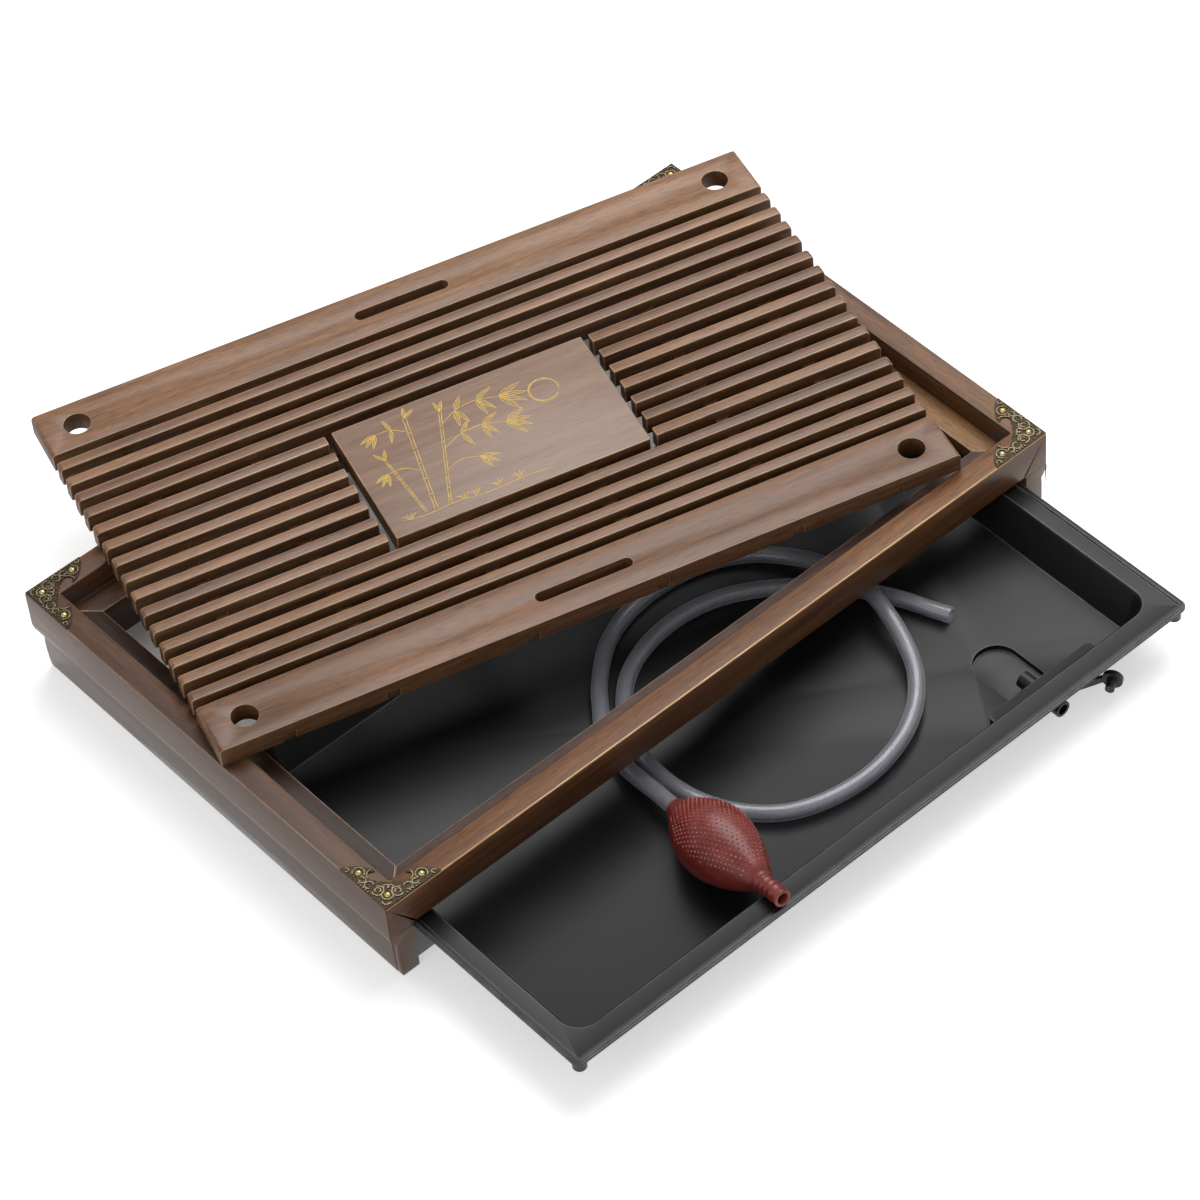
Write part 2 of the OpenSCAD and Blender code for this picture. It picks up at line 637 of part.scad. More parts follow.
// Length along the line and the least gap between two far parts of the hose.
function acc(i) = i == 0 ? 0 : acc(i - 1) + norm(line[i] - line[i - 1]);
gaps = [for (i = [0:ln - 1], j = [i + 4:1:ln - 1]) norm(line[i] - line[j]) - hose_d];
echo(hose_length = acc(ln - 1), rings = ln, least_gap = min(gaps));
echo(tilt_x = tilt_x, tilt_y = tilt_y, nail = lie_nail, left = lie_corner(-1), right = lie_corner(1));
echo(grille_bottom = grille_z, seat = seat_z, center_d = center_d,
     board_gap = grille_w / 2 - wide_w - row_y(7) - slat_w / 2);

// The origin is under the middle of the whole: halfway between the frame's left side
// and the lying grille's right corner, and between the grille's back corner and the
// tip of the plug's stopper.
plug_out = 2.7;
home_x = (grille_x + grille_l / 2 * cos(grille_turn) - grille_w / 2 * sin(grille_turn) - hw) / 2;
home_y = (grille_y - grille_l / 2 * sin(grille_turn) + grille_w / 2 * cos(grille_turn)
    + tray_y - plug_out) / 2;
echo(home_x = home_x, home_y = home_y, tray_d = tray_d, grille_l = grille_l, grille_w = grille_w);
module home() translate([-home_x, -home_y, 0]) children();

home() front_board();
home() back_board();
home() side_board(-1);  // side_board_left
home() side_board(1);  // side_board_right
home() ledge_front();
home() ledge_back();
home() ledge_left();
home() ledge_right();
home() plate_node(0);  // corner_plate_1
home() plate_node(1);  // corner_plate_2
home() plate_node(2);  // corner_plate_3
home() plate_node(3);  // corner_plate_4
home() corner_nails();
home() wide_board(-1);  // grille_board_front
home() wide_board(1);  // grille_board_back
home() slat(7);  // slat_01
home() slat(6);  // slat_02
home() slat(5);  // slat_03
home() slat(4);  // slat_04
home() slat(-4);  // slat_12
home() slat(-5);  // slat_13
home() slat(-6);  // slat_14
home() slat(-7);  // slat_15
home() short_slat(3, -1);  // slat_05_left
home() short_slat(2, -1);  // slat_06_left
home() short_slat(1, -1);  // slat_07_left
home() short_slat(0, -1);  // slat_08_left
home() short_slat(-1, -1);  // slat_09_left
home() short_slat(-2, -1);  // slat_10_left
home() short_slat(-3, -1);  // slat_11_left
home() short_slat(3, 1);  // slat_05_right
home() short_slat(2, 1);  // slat_06_right
home() short_slat(1, 1);  // slat_07_right
home() short_slat(0, 1);  // slat_08_right
home() short_slat(-1, 1);  // slat_09_right
home() short_slat(-2, 1);  // slat_10_right
home() short_slat(-3, 1);  // slat_11_right
home() center_plate();
home() batten(0);  // batten_1
home() batten(1);  // batten_2
home() batten(2);  // batten_3
home() batten(3);  // batten_4
home() batten(4);  // batten_5
home() batten(5);  // batten_6
home() drip_tray();
home() drain_spout();
home() drain_plug();
home() siphon_bulb();
home() siphon_hose();
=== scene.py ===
"""Looks of a gongfu tea tray: a walnut-stained frame with brass corners, a slatted grille laid
across it, and a black drip drawer with a siphon bulb on a clear hose."""

import json
import math
import random

import bpy
from mathutils import Matrix, Vector
from mathutils.bvhtree import BVHTree

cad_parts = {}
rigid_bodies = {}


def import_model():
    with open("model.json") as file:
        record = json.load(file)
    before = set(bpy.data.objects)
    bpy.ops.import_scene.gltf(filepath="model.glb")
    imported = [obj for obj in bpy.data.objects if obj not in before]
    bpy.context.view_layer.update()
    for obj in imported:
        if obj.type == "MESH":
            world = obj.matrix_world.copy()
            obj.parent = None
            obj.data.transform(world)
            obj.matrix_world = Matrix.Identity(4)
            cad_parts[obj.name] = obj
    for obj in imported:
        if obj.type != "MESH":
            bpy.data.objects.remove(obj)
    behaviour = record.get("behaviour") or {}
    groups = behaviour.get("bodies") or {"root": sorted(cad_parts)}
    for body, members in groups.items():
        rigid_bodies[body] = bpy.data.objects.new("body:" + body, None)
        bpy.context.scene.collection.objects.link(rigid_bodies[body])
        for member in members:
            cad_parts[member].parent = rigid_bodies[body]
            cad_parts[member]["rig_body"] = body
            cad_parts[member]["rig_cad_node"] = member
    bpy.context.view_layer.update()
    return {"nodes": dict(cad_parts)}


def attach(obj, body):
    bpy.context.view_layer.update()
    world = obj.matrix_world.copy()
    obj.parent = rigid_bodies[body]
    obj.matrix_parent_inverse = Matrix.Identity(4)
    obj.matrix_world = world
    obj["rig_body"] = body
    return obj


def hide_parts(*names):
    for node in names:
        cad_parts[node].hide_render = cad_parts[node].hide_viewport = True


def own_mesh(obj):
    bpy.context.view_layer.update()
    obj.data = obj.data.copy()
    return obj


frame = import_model()
NODES = frame["nodes"]
scene = bpy.context.scene
MM = 0.001
# From the frame's middle, where the woodwork is measured from, to the part's origin.
HOME = Vector((-12.726, 20.2414, 0))
# The frame in millimetres: half its width and depth, its rim, and the foot of its plain top band.
HALF_W, HALF_D, RIM, BAND_FOOT = 255, 165.5, 15.5, 37.6
# The ground of the brass corner plates, in millimetres over the table.
PLATE_TOP = 63.7


# Camera: fitted to the photograph's straight edges; 36 mm sensor, square picture.
def place_camera():
    data = bpy.data.cameras.new("camera")
    data.sensor_width = 36.0
    data.lens = 4966.59 / 1200 * 36.0
    data.clip_start, data.clip_end = 0.05, 30.0
    camera = bpy.data.objects.new("camera", data)
    scene.collection.objects.link(camera)
    right = Vector((0.747201, -0.661041, -0.068668))
    up = Vector((0.527857, 0.527509, 0.665658))
    back = Vector((-0.403804, -0.533627, 0.743091))
    turn = Matrix((right, up, back)).transposed().to_4x4()
    camera.matrix_world = Matrix.Translation(Vector((-1.177299, -1.607029, 2.193170)) + HOME * MM) @ turn
    scene.camera = camera


# The hose's route, in millimetres, as its solid follows it.
LAY = 12.3
BULB_START = Vector((-71.3, -185.6, 21))
BULB_AXIS = Vector((-10.5, -98, 18.4)).normalized()
NIPPLE = 11.5
hose_start = BULB_START + (NIPPLE - 0.2) * BULB_AXIS
ROUTE = [
    hose_start, hose_start - 10 * BULB_AXIS, hose_start - 20 * BULB_AXIS, (-69.5, -161, 16.9), (-67.5, -144, 14.9),
    (-62, -124, 13.5), (-50, -107, LAY), (-35, -89, LAY), (-12, -70, LAY), (14, -60, LAY),
    (42, -58, LAY), (70, -63, LAY), (93, -76, LAY + 0.6), (107, -94, 15), (115, -115, 19.5),
    (118, -137, 22.6), (118, -158, 23.4), (114, -178, 21.5), (108, -198, 17), (98, -216, 13.4),
    (80, -233, LAY), (56, -245, LAY), (28, -250, LAY), (0, -247, LAY), (-24, -237, LAY),
    (-42, -219, LAY), (-53, -197, LAY), (-57, -172, LAY), (-54, -146, LAY), (-44, -122, LAY),
    (-24, -100, LAY), (0, -88, LAY), (27, -84, LAY), (54, -88, LAY), (78, -100, LAY),
    (100, -118, LAY), (119, -140, LAY), (133, -164, LAY), (141, -184, LAY), (146, -196, LAY)]


def smooth_route(points, steps):
    """A smooth line through the points, with the given steps between each two."""
    p = [Vector(q) for q in points]
    p = [2 * p[0] - p[1]] + p + [2 * p[-1] - p[-2]]
    line = []
    for a, b, c, d in zip(p, p[1:], p[2:], p[3:]):
        for k in range(steps):
            t = k / steps
            line.append(0.5 * (2 * b + (c - a) * t + (2 * a - 5 * b + 4 * c - d) * t ** 2
                               + (3 * b - a - 3 * c + d) * t ** 3))
    return line + [p[-2]]


def hollow_tube(name, line, outer, bore, sides):
    """A tube with a real bore, swept along a line in metres and ringed at both ends."""
    rings, faces = [], []
    for radius in (outer / 2, bore / 2):
        for i, point in enumerate(line):
            ahead = (line[min(i + 1, len(line) - 1)] - line[max(i - 1, 0)]).normalized()
            side = ahead.cross(Vector((0, 0, 1))).normalized()
            up = side.cross(ahead)
            rings += [point + radius * (math.cos(2 * math.pi * k / sides) * side
                                        + math.sin(2 * math.pi * k / sides) * up) for k in range(sides)]
    n, inner = len(line), len(line) * sides
    for k in range(sides):
        q = (k + 1) % sides
        for i in range(n - 1):
            a, b = i * sides, (i + 1) * sides
            faces.append((a + k, b + k, b + q, a + q))
            faces.append((inner + a + k, inner + a + q, inner + b + q, inner + b + k))
        faces.append((k, q, inner + q, inner + k))
        e = (n - 1) * sides
        faces.append((e + q, e + k, inner + e + k, inner + e + q))
    mesh = bpy.data.meshes.new(name)
    mesh.from_pydata([tuple(v) for v in rings], [], faces)
    mesh.update()
    tube = bpy.data.objects.new(name, mesh)
    scene.collection.objects.link(tube)
    only(tube)
    bpy.ops.object.mode_set(mode="EDIT")
    bpy.ops.mesh.select_all(action="SELECT")
    bpy.ops.mesh.normals_make_consistent(inside=False)
    bpy.ops.object.mode_set(mode="OBJECT")
    bpy.ops.object.shade_smooth_by_angle(angle=math.radians(50))
    return tube


def only(obj):
    """Selects one object alone and makes it the active one."""
    bpy.ops.object.select_all(action="DESELECT")
    obj.select_set(True)
    bpy.context.view_layer.objects.active = obj


# Colours and materials

def linear(hex_colour):
    """An sRGB hex colour as linear red, green, blue and alpha."""
    out = []
    for k in (1, 3, 5):
        c = int(hex_colour[k:k + 2], 16) / 255
        out.append(c / 12.92 if c <= 0.04045 else ((c + 0.055) / 1.055) ** 2.4)
    return (*out, 1.0)


def node(tree, kind, settings=None, inputs=None):
    """Adds one shader node; inputs are values, or (node, output) pairs to link."""
    n = tree.nodes.new(kind)
    for key, value in (settings or {}).items():
        setattr(n, key, value)
    for key, value in (inputs or {}).items():
        if isinstance(value, tuple) and len(value) == 2 and hasattr(value[0], "outputs"):
            tree.links.new(value[0].outputs[value[1]], n.inputs[key])
        else:
            n.inputs[key].default_value = value
    return n


def material(name):
    """An empty node material with its surface shader."""
    m = bpy.data.materials.new(name)
    m.use_nodes = True
    m.node_tree.nodes.clear()
    surface = node(m.node_tree, "ShaderNodeBsdfPrincipled")
    node(m.node_tree, "ShaderNodeOutputMaterial", {}, {"Surface": (surface, "BSDF")})
    return m, m.node_tree, surface


def ramp(tree, source, stops):
    """A colour ramp over (place, hex colour) stops, fed by a (node, output) pair."""
    n = node(tree, "ShaderNodeValToRGB", {}, {"Fac": source})
    while len(n.color_ramp.elements) < len(stops):
        n.color_ramp.elements.new(0.5)
    for element, (place, colour) in zip(n.color_ramp.elements, stops):
        element.position = place
        element.color = linear(colour)
    return n


# Walnut-stained rubberwood, planed and sprayed with a satin lacquer: long soft figure, fine
# dark pores along the grain, and a clear coat that mirrors the pale room at low angles.
def walnut(name, dark, mid, light, turn, shift, rough=0.4, coat=0.1, shine=0.5, pore=0.62):
    m, tree, surface = material(name)
    place = node(tree, "ShaderNodeTexCoord")
    turned = node(tree, "ShaderNodeMapping", {"vector_type": "TEXTURE"},
                  {"Vector": (place, "Object"), "Rotation": turn})
    # grain drawn out 14 times along the board
    along = node(tree, "ShaderNodeMapping", {},
                 {"Vector": (turned, "Vector"), "Location": shift, "Scale": (0.07, 1.0, 1.0)})
    figure = node(tree, "ShaderNodeTexNoise", {},
                  {"Vector": (along, "Vector"), "Scale": 55.0, "Detail": 4.0, "Roughness": 0.55, "Distortion": 0.6})
    # growth lines about 3 mm apart
    lines = node(tree, "ShaderNodeTexNoise", {},
                 {"Vector": (along, "Vector"), "Scale": 320.0, "Detail": 3.0, "Roughness": 0.6, "Distortion": 0.3})
    # pores 0.6 mm wide and 8 mm long
    pores = node(tree, "ShaderNodeTexNoise", {},
                 {"Vector": (along, "Vector"), "Scale": 1500.0, "Detail": 2.0, "Roughness": 0.5})
    blend = node(tree, "ShaderNodeMix", {"data_type": "FLOAT"},
                 {"Factor": 0.42, "A": (figure, "Fac"), "B": (lines, "Fac")})
    colour = ramp(tree, (blend, "Result"), [(0.34, dark), (0.5, mid), (0.66, light)])
    pore_dark = node(tree, "ShaderNodeMapRange", {},
                     {"Value": (pores, "Fac"), "From Min": 0.36, "From Max": 0.5, "To Min": pore, "To Max": 1.0})
    shade = node(tree, "ShaderNodeMix", {"data_type": "RGBA", "blend_type": "MULTIPLY"},
                 {"Factor": 1.0, "A": (colour, "Color"), "B": (pore_dark, "Result")})
    bump = node(tree, "ShaderNodeBump", {}, {"Strength": 0.25, "Distance": 0.0002, "Height": (pores, "Fac")})
    gloss = node(tree, "ShaderNodeMapRange", {},
                 {"Value": (lines, "Fac"), "From Min": 0.3, "From Max": 0.7,
                  "To Min": rough - 0.05, "To Max": rough + 0.06})
    tree.links.new(shade.outputs["Result"], surface.inputs["Base Color"])
    tree.links.new(gloss.outputs["Result"], surface.inputs["Roughness"])
    tree.links.new(bump.outputs["Normal"], surface.inputs["Normal"])
    surface.inputs["Coat Weight"].default_value = coat
    surface.inputs["Coat Roughness"].default_value = 0.22
    surface.inputs["Specular IOR Level"].default_value = shine
    return m


# Die-stamped brass, darkened with an antique patina and rubbed back on its high lines.
def antique_brass():
    m, tree, surface = material("antique brass, stamped and patinated")
    place = node(tree, "ShaderNodeTexCoord")
    height = node(tree, "ShaderNodeSeparateXYZ", {}, {"Vector": (place, "Object")})
    rub = node(tree, "ShaderNodeMapRange", {},
               {"Value": (height, "Z"), "From Min": 0.06365, "From Max": 0.0642, "To Min": 0.0, "To Max": 1.0})
    grime = node(tree, "ShaderNodeTexNoise", {}, {"Vector": (place, "Object"), "Scale": 900.0, "Detail": 3.0})
    mixed = node(tree, "ShaderNodeMath", {"operation": "MULTIPLY_ADD"},
                 {0: (grime, "Fac"), 1: 0.5, 2: (rub, "Result")})
    colour = ramp(tree, (mixed, "Value"), [(0.15, "#211a13"), (0.5, "#40372a"), (1.0, "#786b53")])
    # chased ground: fine dots 0.8 mm apart
    dots = node(tree, "ShaderNodeTexVoronoi", {"feature": "F1"}, {"Vector": (place, "Object"), "Scale": 1100.0})
    bump = node(tree, "ShaderNodeBump", {}, {"Strength": 0.6, "Distance": 0.0002, "Height": (dots, "Distance")})
    tree.links.new(colour.outputs["Color"], surface.inputs["Base Color"])
    tree.links.new(bump.outputs["Normal"], surface.inputs["Normal"])
    surface.inputs["Metallic"].default_value = 0.85
    surface.inputs["Roughness"].default_value = 0.33
    return m


# Turned brass nail heads, bright where fingers and cloth have rubbed them.
def nail_brass():
    m, tree, surface = material("brass nail heads, rubbed bright")
    place = node(tree, "ShaderNodeTexCoord")
    haze = node(tree, "ShaderNodeTexNoise", {}, {"Vector": (place, "Object"), "Scale": 700.0, "Detail": 2.0})
    colour = ramp(tree, (haze, "Fac"), [(0.3, "#b7a266"), (0.7, "#e0d193")])
    tree.links.new(colour.outputs["Color"], surface.inputs["Base Color"])
    surface.inputs["Metallic"].default_value = 1.0
    surface.inputs["Roughness"].default_value = 0.24
    return m


# Vacuum-formed black polystyrene: a fine satin grain with a soft broad sheen.
def black_styrene():
    m, tree, surface = material("black polystyrene, vacuum formed")
    place = node(tree, "ShaderNodeTexCoord")
    grain = node(tree, "ShaderNodeTexNoise", {}, {"Vector": (place, "Object"), "Scale": 2200.0, "Detail": 2.0})
    haze = node(tree, "ShaderNodeTexNoise", {}, {"Vector": (place, "Object"), "Scale": 14.0, "Detail": 4.0})
    colour = ramp(tree, (haze, "Fac"), [(0.35, "#131314"), (0.65, "#1b1c1c")])
    gloss = node(tree, "ShaderNodeMapRange", {},
                 {"Value": (haze, "Fac"), "From Min": 0.3, "From Max": 0.7, "To Min": 0.34, "To Max": 0.44})
    bump = node(tree, "ShaderNodeBump", {}, {"Strength": 0.12, "Distance": 0.0001, "Height": (grain, "Fac")})
    tree.links.new(colour.outputs["Color"], surface.inputs["Base Color"])
    tree.links.new(gloss.outputs["Result"], surface.inputs["Roughness"])
    tree.links.new(bump.outputs["Normal"], surface.inputs["Normal"])
    surface.inputs["Specular IOR Level"].default_value = 0.34
    return m


# The same plastic, painted paler on the rounded edges as a painted highlight, and a little shinier.
def edge_styrene_highlight():
    m, tree, surface = material("black polystyrene, painted highlight on its edges")
    place = node(tree, "ShaderNodeTexCoord")
    wear_and_highlight_mottle = node(tree, "ShaderNodeTexNoise", {}, {"Vector": (place, "Object"), "Scale": 90.0, "Detail": 2.0})
    colour = ramp(tree, (wear_and_highlight_mottle, "Fac"), [(0.3, "#3c3d3e"), (0.7, "#5c5e60")])
    tree.links.new(colour.outputs["Color"], surface.inputs["Base Color"])
    surface.inputs["Roughness"].default_value = 0.3
    return m


# Moulded black rubber: matt with a faint bloom.
def black_rubber():
    m, tree, surface = material("black rubber, moulded")
    place = node(tree, "ShaderNodeTexCoord")
    bloom = node(tree, "ShaderNodeTexNoise", {}, {"Vector": (place, "Object"), "Scale": 260.0, "Detail": 3.0})
    colour = ramp(tree, (bloom, "Fac"), [(0.35, "#191919"), (0.7, "#2a2a2a")])
    tree.links.new(colour.outputs["Color"], surface.inputs["Base Color"])
    surface.inputs["Roughness"].default_value = 0.5
    return m


# Red-brown natural rubber, dipped and moulded: soft satin skin, slightly mottled.
def red_rubber():
    m, tree, surface = material("red rubber, moulded")
    place = node(tree, "ShaderNodeTexCoord")
    mottle = node(tree, "ShaderNodeTexNoise", {}, {"Vector": (place, "Object"), "Scale": 120.0, "Detail": 4.0})
    colour = ramp(tree, (mottle, "Fac"), [(0.3, "#65241e"), (0.5, "#792c27"), (0.72, "#8b3a33")])
    skin = node(tree, "ShaderNodeTexNoise", {}, {"Vector": (place, "Object"), "Scale": 1600.0, "Detail": 2.0})
    bump = node(tree, "ShaderNodeBump", {}, {"Strength": 0.15, "Distance": 0.0001, "Height": (skin, "Fac")})
    tree.links.new(colour.outputs["Color"], surface.inputs["Base Color"])
    tree.links.new(bump.outputs["Normal"], surface.inputs["Normal"])
    surface.inputs["Roughness"].default_value = 0.33
    return m


# Tips of the grip dots: painted paler, a painted glint, and glossy enough to glint.
def dot_rubber_glint():
    m, tree, surface = material("red rubber, glossy grip dots with a painted glint")
    place = node(tree, "ShaderNodeTexCoord")
    wear_and_highlight_mottle = node(tree, "ShaderNodeTexNoise", {}, {"Vector": (place, "Object"), "Scale": 150.0, "Detail": 3.0})
    colour = ramp(tree, (wear_and_highlight_mottle, "Fac"), [(0.38, "#863530"), (0.6, "#b5655d")])
    tree.links.new(colour.outputs["Color"], surface.inputs["Base Color"])
    surface.inputs["Roughness"].default_value = 0.16
    return m


# Clear soft PVC, extruded: slightly milky, with a glossy skin.
def clear_pvc():
    m, tree, surface = material("clear PVC, extruded")
    place = node(tree, "ShaderNodeTexCoord")
    cloud = node(tree, "ShaderNodeTexNoise", {}, {"Vector": (place, "Object"), "Scale": 60.0, "Detail": 2.0})
    colour = ramp(tree, (cloud, "Fac"), [(0.3, "#d3d4de"), (0.7, "#dddee6")])
    tree.links.new(colour.outputs["Color"], surface.inputs["Base Color"])
    surface.inputs["Roughness"].default_value = 0.24
    surface.inputs["IOR"].default_value = 1.45
    surface.inputs["Transmission Weight"].default_value = 0.78
    surface.inputs["Coat Weight"].default_value = 0.3
    surface.inputs["Coat Roughness"].default_value = 0.12
    surface.inputs["Sheen Weight"].default_value = 0.8
    surface.inputs["Sheen Roughness"].default_value = 0.3
    return m


# Gold paint pressed into a fine line drawing.
def gold_line():
    m, tree, surface = material("gold paint, printed line")
    place = node(tree, "ShaderNodeTexCoord")
    wear_and_highlight_mottle = node(tree, "ShaderNodeTexNoise", {}, {"Vector": (place, "Object"), "Scale": 500.0, "Detail": 2.0})
    colour = ramp(tree, (wear_and_highlight_mottle, "Fac"), [(0.3, "#c49c3c"), (0.7, "#e2c265")])
    tree.links.new(colour.outputs["Color"], surface.inputs["Base Color"])
    surface.inputs["Metallic"].default_value = 0.2
    surface.inputs["Roughness"].default_value = 0.4
    return m


def dress(piece, finish):
    piece.data.materials.clear()
    piece.data.materials.append(finish)


def paint(piece, finish, test):
    """Gives a finish to the faces that pass a test on centre, in millimetres from the frame's middle,
    normal and slot."""
    piece.data.materials.append(finish)
    for face in piece.data.polygons:
        if test(face.center / MM - HOME, face.normal, face.material_index):
            face.material_index = len(piece.data.materials) - 1


# Boards and tray: copies of the solids with their sharp edges rounded over, as sandpaper or a mould
# leaves them. The rounded edge can take a finish of its own, passed as rubbed: a paler one, a painted highlight.
# Without the clamp it keeps its full width past short edges, and its flat faces are split up first so that none folds
# over.
def eased(name, body, width, finish, rubbed=None, clamp=True):
    source = NODES[name]
    piece = source.copy()
    piece.data = source.data.copy()
    piece.name = name + "_eased"
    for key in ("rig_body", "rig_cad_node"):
        if key in piece:
            del piece[key]
    piece.parent = None
    scene.collection.objects.link(piece)
    only(piece)
    if piece.data.has_custom_normals:
        bpy.ops.mesh.customdata_custom_splitnormals_clear()
    bpy.ops.object.mode_set(mode="EDIT")
    bpy.ops.mesh.select_all(action="SELECT")
    bpy.ops.mesh.remove_doubles(threshold=0.000002)
    bpy.ops.mesh.dissolve_limited(angle_limit=math.radians(0.6))
    if not clamp:
        bpy.ops.mesh.quads_convert_to_tris(quad_method="BEAUTY", ngon_method="BEAUTY")
    bpy.ops.object.mode_set(mode="OBJECT")
    round_over = piece.modifiers.new("eased edges", "BEVEL")
    round_over.width = width
    round_over.segments = 2
    round_over.limit_method = "ANGLE"
    round_over.angle_limit = math.radians(40)
    round_over.use_clamp_overlap = clamp
    dress(piece, finish)
    if rubbed:
        piece.data.materials.append(rubbed)
        round_over.material = 1
    bpy.ops.object.modifier_apply(modifier=round_over.name)
    # flat faces with openings are split up, so that every program fills them alike
    bpy.ops.object.mode_set(mode="EDIT")
    bpy.ops.mesh.select_all(action="SELECT")
    bpy.ops.mesh.quads_convert_to_tris(quad_method="BEAUTY", ngon_method="BEAUTY")
    bpy.ops.object.mode_set(mode="OBJECT")
    bpy.ops.object.shade_smooth_by_angle(angle=math.radians(38))
    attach(piece, body)
    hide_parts(name)
    return piece


# Turned shells: a circle drawn out ring by ring along +Z, from (radius, height) stations.
def turned_shell(name, stations, sides):
    bpy.ops.object.select_all(action="DESELECT")
    r0, z0 = stations[0]
    bpy.ops.mesh.primitive_circle_add(vertices=sides, radius=r0 * MM, location=(0, 0, z0 * MM))
    shell = bpy.context.object
    shell.name = name
    bpy.ops.object.transform_apply(location=True, rotation=False, scale=False)
    bpy.ops.object.mode_set(mode="EDIT")
    bpy.ops.mesh.select_all(action="SELECT")
    for r1, z1 in stations[1:]:
        bpy.ops.mesh.extrude_region_move(TRANSFORM_OT_translate={"value": (0, 0, (z1 - z0) * MM)})
        bpy.ops.transform.resize(value=(r1 / r0, r1 / r0, 1))
        r0, z0 = r1, z1
    bpy.ops.mesh.select_all(action="SELECT")
    bpy.ops.mesh.remove_doubles(threshold=0.00001)
    bpy.ops.mesh.normals_make_consistent(inside=False)
    bpy.ops.object.mode_set(mode="OBJECT")
    return shell


BULB_LENGTH = 85.0
TAIL_LENGTH = 20.5


def bulb_radius(t):
    return 6.25 + 16.25 * max(math.sin(math.pi * t ** 0.95), 0) ** (1.3 - 0.5 * t)


def axis_matrix():
    """From a shell drawn up +Z to the bulb's place in the drawer."""
    z = BULB_AXIS
    x = z.cross(Vector((0, 0, 1))).normalized()
    y = z.cross(x)
    return Matrix.Translation((BULB_START + HOME) * MM) @ Matrix((x, y, z)).transposed().to_4x4()


def siphon_bulb(finish):
    b0, b1, end = NIPPLE, NIPPLE + BULB_LENGTH, NIPPLE + BULB_LENGTH + TAIL_LENGTH
    outer = [(2.6, 0), (2.95, 0.2), (3.2, 1.3), (2.95, 2.6), (3.2, 4.4), (2.95, 6), (3.2, 8), (2.95, 9.6),
             (3.1, b0 - 0.5), (5.3, b0 - 0.4), (6.0, b0 + 0.3)]
    steps = 40
    outer += [(bulb_radius(i / steps), b0 + BULB_LENGTH * i / steps) for i in range(1, steps)]
    outer += [(6.7, b1 - 0.6), (6.9, b1 + 0.8), (6.2, b1 + 2.0), (5.2, b1 + 2.8)]
    for i in range(3):
        z = b1 + 5.0 + i * 4.2
        outer += [(5.15, z - 1.3), (5.5, z - 0.6), (5.75, z), (5.5, z + 0.6), (5.15, z + 1.3)]
    outer += [(5.2, end - 3.5), (5.45, end - 1.2), (5.4, end - 0.4), (4.9, end), (3.9, end), (3.4, end - 0.5)]
    inner = [(3.3, b1 - 2)] + [(bulb_radius(i / 12) - 2.5, b0 + BULB_LENGTH * i / 12) for i in range(11, 1, -1)]
    inner += [(2.6, b0 + 3), (2.6, 0)]
    shell = turned_shell("siphon_bulb_skin", outer + inner, 48)
    shell.data.transform(axis_matrix())
    only(shell)
    bpy.ops.object.shade_smooth_by_angle(angle=math.radians(50))
    return shell


def grip_dots():
    """Rows of moulded grip dots over the bulb's upper side, 3 mm apart, as one piece."""
    place = axis_matrix()
    bpy.ops.object.select_all(action="DESELECT")
    bpy.ops.mesh.primitive_ico_sphere_add(subdivisions=2, radius=0.72 * MM, location=(0, 0, 0))
    seed = bpy.context.object
    for p in seed.data.polygons:
        p.use_smooth = True
    dots = []
    rows = 28
    for i in range(rows):
        s = 13 + (BULB_LENGTH - 19) * i / (rows - 1)
        r = bulb_radius(s / BULB_LENGTH)
        slope = (bulb_radius((s + 0.5) / BULB_LENGTH) - bulb_radius((s - 0.5) / BULB_LENGTH))
        count = max(3, int(round(1.25 * r / 3.0)))
        for k in range(-count, count + 1):
            angle = math.radians(-90) + (k + 0.5 * (i % 2)) * 3.0 / r
            if abs(k) > count * (0.72 + 0.28 * math.sin(math.pi * i / rows)):
                continue
            normal = Vector((math.cos(angle), math.sin(angle), -slope)).normalized()
            at = Vector((r * math.cos(angle), r * math.sin(angle), NIPPLE + s))
            dot = seed.copy()
            dot.data = seed.data.copy()
            squat = Matrix.Diagonal((1.0, 1.0, 0.62, 1.0))
            dot.data.transform(place @ Matrix.Translation(at * MM)
                               @ Vector((0, 0, 1)).rotation_difference(normal).to_matrix().to_4x4() @ squat)
            scene.collection.objects.link(dot)
            dots.append(dot)
    bpy.data.objects.remove(seed)
    bpy.ops.object.select_all(action="DESELECT")
    for d in dots:
        d.select_set(True)
    bpy.context.view_layer.objects.active = dots[0]
    bpy.ops.object.join()
    dots[0].name = "siphon_bulb_dots"
    return dots[0]


# The lying grille's place: turned on the frame and tilted by the nail under one corner.
def grille_place():
    return (Matrix.Translation((Vector((12.8, 56.4, 64.3808)) + HOME) * MM)
            @ Matrix.Rotation(math.radians(-0.126002), 4, "Y")
            @ Matrix.Rotation(math.radians(0.439414), 4, "X")
            @ Matrix.Rotation(math.radians(-16), 4, "Z"))


def wires(name, lines, radius, steps):
    """Round wires along many smooth lines, as one mesh; each thins out at both ends."""
    curve = bpy.data.curves.new(name, "CURVE")
    curve.dimensions = "3D"
    curve.bevel_depth = 1.0
    curve.bevel_resolution = 1
    curve.use_fill_caps = True
    for points in lines:
        line = smooth_route([(*p, 0)[:3] for p in points], steps)
        spline = curve.splines.new("POLY")
        spline.points.add(len(line) - 1)
        for i, p in enumerate(line):
            spline.points[i].co = (*p, 1)
            t = i / (len(line) - 1)
            spline.points[i].radius = radius * (0.35 + 0.65 * max(math.sin(math.pi * t), 0) ** 0.6)
    obj = bpy.data.objects.new(name, curve)
    scene.collection.objects.link(obj)
    only(obj)
    bpy.ops.object.convert(target="MESH")
    return bpy.context.object


